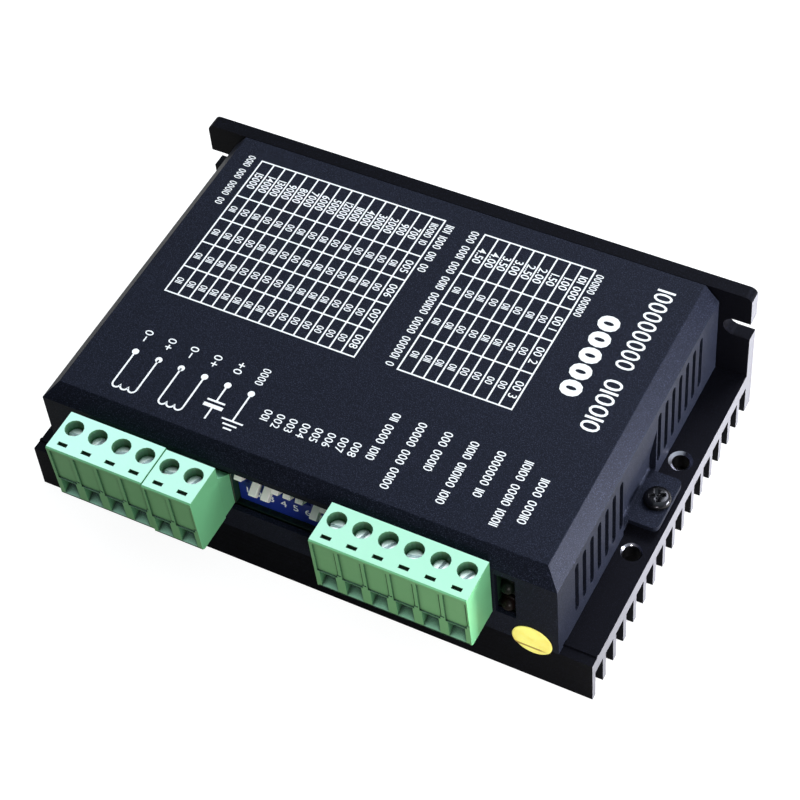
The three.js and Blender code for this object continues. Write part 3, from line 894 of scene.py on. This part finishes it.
# -------------------------------------------------------- cover screws and seal
def build_cover_screw(side, turn):
    node = "cover_screw_" + side
    (_, _, tip), (_, _, top) = box_mm(node)
    axis = upright(node)
    base = top - 1.5                          # underside of the pan head
    shank = 1.4
    rim = 2.61
    profile = [
        (0, tip), (1.05, tip), (shank, tip + 0.45),
        *thread(tip + 0.7, base - 0.6, crest=shank, root=1.22, root_rise=0.22, pitch=0.45),
        (shank, base - 0.15), (shank, base), (2.52, base), (rim, base + 0.1),
    ]
    for i in range(9):
        angle = math.radians(90 * i / 8)
        bulge = (rim - shank) * math.cos(angle) ** 0.75 if i < 8 else 0
        profile.append((shank + bulge, base + 0.5 + 0.94 * math.sin(angle)))
    profile.append((0, base + 1.5))
    obj = turned("cover_screw_phillips_" + side, profile, sides=48, placement=axis)
    cut_cross(obj, axis, turn, bottom=base + 0.5, top=base + 1.55)
    soften_head(obj, above=base + 0.7, low_angle=42, width=0.06)
    attach(obj, node, [MATS["black_screw"]])


def build_seal():
    """A round label that steps back under the edge of the panel it spans."""
    low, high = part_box("tamper_seal")
    centre_x = (low.x + high.x) / 2 / MILLI
    centre_z = (low.z + high.z) / 2 / MILLI
    radius = (high.x - low.x) / 2 / MILLI
    edge_z = 10.3                             # the fold starts here and runs down
    ring_count = 14
    sides = 72

    def depth(x, z):
        fall = min(1.0, max(0.0, (edge_z - z) / 0.5))
        step = 0.11 * fall * fall * (3 - 2 * fall)
        wrinkle = 0.02 * math.exp(-((z - edge_z + 0.1) / 0.22) ** 2) * math.sin(2.1 * x)
        return step + wrinkle

    mesh = bmesh.new()
    layers = []
    for base in (to_mm(low)[1], to_mm(high)[1]):
        middle = point(centre_x, base + depth(centre_x, centre_z), centre_z)
        rings = [[mesh.verts.new(middle)]]
        for k in range(1, ring_count + 1):
            reach = radius * k / ring_count
            ring = []
            for i in range(sides):
                angle = 2 * math.pi * i / sides
                x = centre_x + reach * math.cos(angle)
                z = centre_z + reach * math.sin(angle)
                ring.append(mesh.verts.new(point(x, base + depth(x, z), z)))
            rings.append(ring)
        layers.append(rings)
    for rings, flip in zip(layers, (False, True)):
        for k in range(ring_count):
            inner, outer = rings[k], rings[k + 1]
            for i in range(sides):
                j = (i + 1) % sides
                if k == 0:
                    face = (inner[0], outer[i], outer[j])
                else:
                    face = (inner[i], outer[i], outer[j], inner[j])
                mesh.faces.new(face[::-1] if flip else face)
    front, back = layers[0][-1], layers[1][-1]
    for i in range(sides):
        j = (i + 1) % sides
        mesh.faces.new((front[i], back[i], back[j], front[j]))
    outward(mesh)
    obj = fresh("tamper_label")
    store(mesh, obj)
    even_normals(obj)
    attach(obj, "tamper_seal", [MATS["seal"]])


# ------------------------------------------------------------ boards and inside
def build_board_screw(index):
    node = f"board_screw_{index}"
    (_, _, tip), (_, _, top) = box_mm(node)
    axis = upright(node)
    base = top - 1.8                          # underside of the head
    profile = [
        (0, tip), (1.1, tip), (1.35, tip + 0.3), (1.35, base), (2.6, base),
        (2.7, base + 0.12), (2.7, base + 0.8), (2.5, base + 1.25), (2.05, base + 1.62),
        (1.4, base + 1.8), (0, base + 1.8),
    ]
    obj = turned(f"pan_screw_{index}", profile, sides=36, placement=axis)
    cut_slot(obj, axis, 0.4 * index, half_length=1.5, half_width=0.35,
             z_range=(base + 0.9, base + 3))
    even_normals(obj)
    attach(obj, node, [MATS["zinc"]])


def build_capacitor(index):
    node = f"capacitor_{index}"
    (_, _, low), (_, _, top) = box_mm(node)
    profile = [
        (0, low), (5.7, low), (6.0, low + 0.12), (6.22, low + 0.45), (6.25, low + 1.5),
        (6.05, low + 1.75), (5.87, low + 2.0), (6.05, low + 2.25), (6.25, low + 2.55),
        (6.25, top - 0.6), (6.15, top - 0.3), (5.95, top - 0.1), (5.6, top), (5.2, top),
        (5.1, top - 0.12), (0, top - 0.12),
    ]
    paints = [0] * 13 + [1, 1]                # the sleeve, then the bare top of the can
    obj = turned(f"electrolytic_capacitor_{index}", profile, sides=56,
                 placement=upright(node), paints=paints)
    even_normals(obj)
    attach(obj, node, [MATS["sleeve"], MATS["can"]])


def build_inside():
    board_bottom, board_top = 15.4, 17.0

    def paint(face):
        """1 on whatever stands clear of the board, above or below."""
        z = to_mm(face.calc_center_median())[2]
        return int(z > board_top + 0.02 or z < board_bottom - 0.02)

    refined("main_board", "driver_board", [MATS["board"], MATS["chip"]], paint=paint)
    refined("thermal_pad", "silicone_gap_pad", [MATS["rubber"]], width=0.25, segments=3)
    refined("processor", "processor_package", [MATS["chip"]])
    for index in range(1, 5):
        refined(f"standoff_{index}", f"hex_standoff_{index}", [MATS["brass"]])
        build_board_screw(index)
    for index in (1, 2):
        build_capacitor(index)


def build_lens(node, mat):
    """A lens with its flange and dome, turned about a level axis and facing the front."""
    low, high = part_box(node)
    centre = (low + high) / 2
    back = high.y / MILLI
    shoulder = back - low.y / MILLI - 1.75    # front of the flange, from the back
    radius = 1.5
    flange = 1.62
    profile = [
        (0, 0), (radius, 0), (radius, shoulder - 0.3), (flange, shoulder - 0.25),
        (flange, shoulder), (radius, shoulder + 0.05),
    ]
    for i in range(1, 9):
        angle = math.radians(90 * i / 8)
        reach = radius * math.cos(angle) if i < 8 else 0
        profile.append((reach, shoulder + 0.05 + 1.7 * math.sin(angle)))
    placement = (Matrix.Translation((centre.x, back * MILLI, centre.z))
                 @ Matrix.Rotation(math.pi / 2, 4, "X"))
    obj = turned(node + "_lens", profile, sides=36, placement=placement)
    attach(obj, node, [mat])


def build_lamps():
    refined("lamp_holder", "lamp_housing", [MATS["lamp_black"]])
    build_lens("lamp_power", MATS["lens_green"])
    build_lens("lamp_alarm", MATS["lens_red"])


# ----------------------------------------------------------------- cover print
LINE = 0.30            # table rules
WIRE = 0.34            # lines of the symbols
BAR = 0.26             # strokes of the plus and minus signs
TEXT = 1.7             # usual text height
TITLE = 3.7            # title text height
TEXT_GAP = 0.1         # space between characters over the height
LEFT_COLUMNS = [-43.33, -40.5] + [-40.5 + 2.527 * k for k in range(1, 15)] + [-2.33]
LEFT_ROWS = [67.5, 57.2, 50.5, 43.7, 36.8, 29.8]
LEFT_HEADINGS = [15000, 14000, 13000, 9000, 8000, 7000, 6000, 5000,
                 12000, 11000, 4000, 3000, 2000, 900, 700]
RIGHT_COLUMNS = [6.33, 9.2, 11.67, 14.1, 16.8, 19.2, 21.7, 24.4, 26.9, 29.5]
RIGHT_ROWS = [67.3, 56.5, 48.1, 39.5, 30.5]
DOTS = [-40.4, -35.3, -30.4, -25.35, -20.4, -15.4]      # x of the terminal dots
DOT_Y = 14.3
# Signal names: x, y where the line starts, y where its room ends.
SIGNAL_NAMES = [
    (11.2, 21.2, 9.2), (16.5, 21.2, 5.0), (21.7, 21.2, 10.7), (26.9, 21.2, 5.5),
    (32.2, 21.2, 9.5), (37.5, 21.2, 5.0), (41.7, 18.8, 7.8),
]


class Print:
    """Thin ink on the cover's top. Text reads towards -y with its top towards +x."""

    AXES = Vector((0, -1, 0)), Vector((1, 0, 0)), Vector((0, 0, 1))

    def __init__(self):
        self.mesh = bmesh.new()
        self.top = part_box("cover")[1].z / MILLI
        self.plates = 0

    def heights(self, lift=0.0):
        """Bottom and top of the next plate. Small steps keep crossing plates apart."""
        self.plates += 1
        return self.top - 0.02, self.top + 0.03 + lift + 0.0008 * (self.plates % 5)

    def row(self, outline, z):
        return [self.mesh.verts.new(point(x, y, z)) for x, y in outline]

    def plate(self, outline, lift=0.0):
        """A closed plate from an outline of (x, y)."""
        bottom, top = self.heights(lift)
        pairs = zip(outline, outline[1:] + outline[:1])
        if sum(here[0] * after[1] - after[0] * here[1] for here, after in pairs) < 0:
            outline = outline[::-1]
        low = self.row(outline, bottom)
        high = self.row(outline, top)
        self.mesh.faces.new(low[::-1])
        self.mesh.faces.new(high)
        for i in range(len(outline)):
            j = (i + 1) % len(outline)
            self.mesh.faces.new((low[i], low[j], high[j], high[i]))

    def rect(self, left, right, front, back, lift=0.0):
        self.plate([(left, front), (right, front), (right, back), (left, back)], lift)

    def disc(self, x, y, radius, sides=24):
        angles = [2 * math.pi * i / sides for i in range(sides)]
        self.plate([(x + radius * math.cos(a), y + radius * math.sin(a)) for a in angles])

    def stroke(self, points):
        """A line of even width along points, as one closed plate."""
        left, right = [], []
        for i, (x, y) in enumerate(points):
            before = points[max(i - 1, 0)]
            after = points[min(i + 1, len(points) - 1)]
            run_x, run_y = after[0] - before[0], after[1] - before[1]
            length = math.hypot(run_x, run_y)
            side_x, side_y = -run_y / length * WIRE / 2, run_x / length * WIRE / 2
            left.append((x + side_x, y + side_y))
            right.append((x - side_x, y - side_y))
        bottom, top = self.heights()
        left_low, right_low = self.row(left, bottom), self.row(right, bottom)
        left_top, right_top = self.row(left, top), self.row(right, top)
        new_face = self.mesh.faces.new
        for i in range(len(points) - 1):
            j = i + 1
            new_face((left_top[i], right_top[i], right_top[j], left_top[j]))
            new_face((left_low[i], left_low[j], right_low[j], right_low[i]))
            new_face((left_low[i], left_top[i], left_top[j], left_low[j]))
            new_face((right_low[i], right_low[j], right_top[j], right_top[i]))
        new_face((left_low[0], right_low[0], right_top[0], left_top[0]))
        new_face((left_low[-1], left_top[-1], right_top[-1], right_low[-1]))

    def text(self, text, x, y, height, stretch, weight=0.0):
        put_text(self.mesh, text, point(x, y, self.top - 0.01), self.AXES, height,
                 depth=0.042, stretch=stretch, gap=TEXT_GAP, weight=weight)

    def centred(self, text, x, y, height, stretch, weight=0.0):
        start = y + text_length(text, height, stretch, TEXT_GAP) / 2
        self.text(text, x, start, height, stretch, weight)

    def fitted(self, text, x, y, length, weight=0.0):
        """Title text stretched to a length."""
        natural = text_length(text, TITLE, 1.0, TEXT_GAP)
        self.text(text, x, y, TITLE, length / natural, weight)

    def words(self, x, y_start, y_end, height, seed, stretch=0.82, weight=0.0):
        """A line of noughts and ones standing in for words."""
        draw = random.Random(seed)
        room = y_start - y_end
        text, run, limit = "", 0, draw.randint(3, 7)
        while text_length(text + "0", height, stretch, TEXT_GAP) <= room:
            text += draw.choice("0001")
            run += 1
            if run >= limit:
                run, limit = 0, draw.randint(3, 7)
                text += " "
        self.text(text.strip(), x, y_start, height, stretch, weight)

    def table(self, columns, rows, entries, shift, stretch, weight):
        """Rules and cells of a switch table.

        entries pairs each column's heading with its switch code, whose bits fill the rows
        below. shift moves the cell text along y, stretch and weight shape the headings.
        """
        for y in rows:
            self.rect(columns[0] - LINE / 2, columns[-1] + LINE / 2, y - LINE / 2, y + LINE / 2)
        for x in columns:
            self.rect(x - LINE / 2, x + LINE / 2, rows[-1], rows[0], lift=0.004)
        for column, (heading, code) in enumerate(entries):
            x = (columns[column] + columns[column + 1]) / 2 - TEXT / 2
            self.centred(heading, x, (rows[0] + rows[1]) / 2 + shift, TEXT, stretch, weight)
            for bit in range(len(rows) - 2):
                text = "011" if (code >> bit) & 1 else "00"
                middle = (rows[bit + 1] + rows[bit + 2]) / 2
                self.centred(text, x, middle + shift, TEXT * 0.88, 0.86)

    def row_names(self, x, rows, prefix, first):
        """Switch names in the last column."""
        for row in range(len(rows) - 2):
            middle = (rows[row + 1] + rows[row + 2]) / 2
            self.centred(prefix + str(first + row), x, middle, TEXT, 0.95)


def print_tables(ink):
    entries = [(str(value), 15 - i) for i, value in enumerate(LEFT_HEADINGS)]
    ink.table(LEFT_COLUMNS, LEFT_ROWS, entries, shift=-0.2, stretch=0.8, weight=0.008)
    x = (LEFT_COLUMNS[-2] + LEFT_COLUMNS[-1]) / 2 - 0.85
    ink.words(x, 66.0, 59.2, height=1.6, seed=11)
    ink.row_names(x, LEFT_ROWS, "00", first=5)
    ink.words(-1.65, 66.7, 53.5, height=1.75, seed=21)
    ink.words(-46.5, 68.0, 53.5, height=1.6, seed=22, stretch=0.78)

    entries = [(f"{(10 + 5 * code) / 10:.2f}", code) for code in range(7, -1, -1)]
    ink.table(RIGHT_COLUMNS, RIGHT_ROWS, entries, shift=0.0, stretch=0.95, weight=0.006)
    x = (RIGHT_COLUMNS[-2] + RIGHT_COLUMNS[-1]) / 2 - 0.8
    ink.words(x, 65.0, 58.9, height=1.6, seed=31, stretch=1.0, weight=0.006)
    ink.row_names(x, RIGHT_ROWS, "00 ", first=1)
    ink.words(30.1, 66.6, 55.3, height=1.6, seed=41)
    ink.words(3.55, 67.2, 30.5, height=1.75, seed=42)


def print_symbols(ink):
    """Two motor windings, a capacitor and a ground sign, each joined to its dots."""
    for x in DOTS:
        ink.disc(x, DOT_Y, radius=0.68)
    coil_y = 6.4
    for start, end in (DOTS[0:2], DOTS[2:4]):
        points = [(start, DOT_Y), (start, 9.0), (start, coil_y)]
        loop = (end - start) / 3
        for turn in range(3):
            for i in range(1, 11):
                angle = math.pi * i / 10
                x = start + loop * turn + loop / 2 * (1 - math.cos(angle))
                points.append((x, coil_y - 0.95 * math.sin(angle)))
        points += [(end, 9.0), (end, DOT_Y)]
        ink.stroke(points)
    x = DOTS[4]
    ink.stroke([(x, DOT_Y), (x, 10.1)])
    ink.rect(x - 1.85, x + 1.85, 9.9, 10.3)
    ink.rect(x - 2.0, x + 2.0, 8.5, 9.3)
    ink.stroke([(x, 8.5), (x, 5.8)])
    x = DOTS[5]
    ink.stroke([(x, DOT_Y), (x, 7.3)])
    for y, width in ((7.3, 4.4), (6.3, 2.9), (5.4, 1.7)):
        ink.rect(x - width / 2, x + width / 2, y - WIRE / 2, y + WIRE / 2)


def print_terminal_names(ink):
    # For each dot: y of the nought, y of the sign, whether the sign is a plus.
    marks = [(19.9, 17.7, False), (19.9, 17.7, True), (19.9, 17.7, False), (19.9, 17.7, True),
             (18.5, 19.5, True)]
    arm = 0.62
    for x, (nought_y, y, plus) in zip(DOTS, marks):
        ink.text("0", x - TEXT / 2, nought_y, TEXT, 1.1)
        ink.rect(x - BAR / 2, x + BAR / 2, y - arm, y + arm)
        if plus:
            ink.rect(x - arm, x + arm, y - BAR / 2, y + BAR / 2, lift=0.004)
    ink.words(DOTS[5] - TEXT / 2, 20.7, 16.0, height=TEXT, seed=51)


def build_label():
    ink = Print()
    print_tables(ink)
    ink.fitted("100000000", 42.0, 67.9, length=67.9 - 47.4)
    ink.fitted("010010", 42.0, 44.3, length=44.3 - 31.5)
    ink.fitted("00000", 35.3, 58.1, length=17.2, weight=0.055)
    print_symbols(ink)
    print_terminal_names(ink)
    for k in range(8):
        ink.text("00" + str(k + 1), -10.45 + 2.62 * k - 0.8, 12.4, height=1.65, stretch=0.95)
    for i, (x, y_start, y_end) in enumerate(SIGNAL_NAMES):
        ink.words(x - 0.85, y_start, y_end, height=1.75, seed=70 + i, stretch=0.9)
    obj = fresh("cover_print")
    outward(ink.mesh)
    store(ink.mesh, obj)
    make_flat(obj)
    add_on(obj, BODY["cover"], [MATS["ink"]])


build_heatsink()
build_cover()
build_terminals()
build_switch()
build_cover_screw("right", turn=0.5)
build_cover_screw("left", turn=0.9)
build_seal()
build_inside()
build_lamps()
build_label()


# ------------------------------------------- stage, light and camera, in metres
def floor_material():
    material = bpy.data.materials.new("pale_floor")
    material.use_nodes = True
    graph = Graph(material.node_tree)
    # What the camera sees: near-white paper with a faint contact shadow.
    paper = graph.node("BsdfDiffuse", {0: (0.26, 0.26, 0.265, 1)})
    glow = graph.node("Emission", {0: (1, 1, 1, 1), 1: 0.90})
    seen = graph.node("AddShader", {0: paper.outputs[0], 1: glow.outputs[0]})
    # What the module sees below itself: brighter towards the back and both sides.
    paper = graph.node("BsdfDiffuse", {0: (0.30, 0.285, 0.25, 1)})
    place = graph.node("NewGeometry").outputs["Position"]
    axes = graph.node("SeparateXYZ", {0: place}).outputs
    side = graph.node("Math", {0: axes[0]}, operation="ABSOLUTE")
    reach = graph.node("Math", {0: side.outputs[0], 1: 0.65, 2: axes[1]},
                       operation="MULTIPLY_ADD")
    grade = graph.node("MapRange", {0: reach.outputs[0], 1: -0.03, 2: 0.16, 3: 0.0, 4: 1.0})
    glow = graph.node("Emission", {0: (1.0, 0.99, 0.96, 1), 1: grade.outputs[0]})
    bounce = graph.node("AddShader", {0: paper.outputs[0], 1: glow.outputs[0]})
    camera_ray = graph.node("LightPath").outputs["Is Camera Ray"]
    choice = graph.node("MixShader", {0: camera_ray, 1: bounce.outputs[0], 2: seen.outputs[0]})
    graph.node("OutputMaterial", {0: choice.outputs[0]})
    return material


def build_floor():
    floor = fresh("floor")
    mesh = bmesh.new()
    bmesh.ops.create_grid(mesh, x_segments=8, y_segments=8, size=2.5)
    mesh.to_mesh(floor.data)
    mesh.free()
    floor.location.z = -0.00006               # just clear of the fin tips
    floor.data.materials.append(floor_material())


def build_world(scene):
    """A dim sky with three soft bright lobes."""
    world = bpy.data.worlds.new("studio")
    scene.world = world
    world.use_nodes = True
    graph = Graph(world.node_tree)
    sky = graph.node("TexCoord").outputs["Generated"]

    def lobe(direction, power, color, strength):
        """Light from one direction. A higher power narrows it."""
        dot = graph.node("VectorMath", {0: sky, 1: Vector(direction).normalized()},
                         operation="DOT_PRODUCT").outputs["Value"]
        level = dot
        for operation, value in (("MAXIMUM", 0.0), ("POWER", power), ("MULTIPLY", strength)):
            level = graph.node("Math", {0: level, 1: value}, operation=operation).outputs[0]
        return graph.node("Background", {0: color + (1,), 1: level}).outputs[0]

    total = graph.node("Background", {0: (0.9, 0.93, 1.0, 1), 1: 0.16}).outputs[0]
    lobes = (
        lobe((0.3, 0.1, 1.0), power=3.0, color=(0.84, 0.96, 1.0), strength=1.05),
        lobe((1.0, 0.4, 0.4), power=3.5, color=(0.92, 0.95, 1.0), strength=0.6),
        lobe((-0.32, 0.55, 0.77), power=9.0, color=(0.88, 1.0, 0.97), strength=1.0),
    )
    for light in lobes:
        total = graph.node("AddShader", {0: total, 1: light}).outputs[0]
    graph.node("OutputWorld", {0: total})


def area_light(scene, name, place, target, size, power, color):
    light = bpy.data.lights.new(name, "AREA")
    light.energy = power
    light.color = color
    light.shape = "SQUARE"
    light.size = size
    obj = bpy.data.objects.new(name, light)
    scene.collection.objects.link(obj)
    obj.location = place
    obj.rotation_mode = "QUATERNION"
    obj.rotation_quaternion = (Vector(target) - Vector(place)).to_track_quat("-Z", "Y")
    return obj


def build_lights(scene):
    area_light(scene, "key_softbox", place=(0.14, 0.42, 0.52), target=(0, 0, 0.01),
               size=0.3, power=3.6, color=(0.96, 0.98, 1.0))
    right_fill = area_light(
        scene, "right_fill", place=(0.152, 0.024, 0.025), target=(0.050, -0.005, 0.019),
        size=0.034, power=0.36, color=(0.97, 0.98, 1.0))
    right_fill.visible_camera = False
    front_fill = area_light(
        scene, "front_fill", place=(0.115, -0.150, 0.060), target=(0.045, -0.045, 0.014),
        size=0.04, power=0.12, color=(1.0, 0.96, 0.93))
    front_fill.visible_camera = False


def build_camera(scene):
    """A long lens above the front right corner."""
    lens = bpy.data.cameras.new("camera")
    camera = bpy.data.objects.new("camera", lens)
    scene.collection.objects.link(camera)
    lens.sensor_width = 36.0
    lens.lens = 100.74
    lens.shift_x = 0.0060
    lens.shift_y = -0.04545
    lens.clip_start = 0.01
    lens.clip_end = 20.0
    # Rows of the pose: the rotation in three columns, then the place.
    camera.matrix_world = Matrix((
        (0.8856085, -0.3129352, 0.3431751, 0.1464797),
        (0.4591567, 0.7010043, -0.5456813, -0.2297686),
        (-0.0698043, 0.6408312, 0.7645017, 0.3476854),
        (0, 0, 0, 1)))
    scene.camera = camera


SCENE = bpy.context.scene
build_floor()
build_world(SCENE)
build_lights(SCENE)
build_camera(SCENE)
SCENE.view_settings.view_transform = "Standard"
SCENE.view_settings.look = "None"
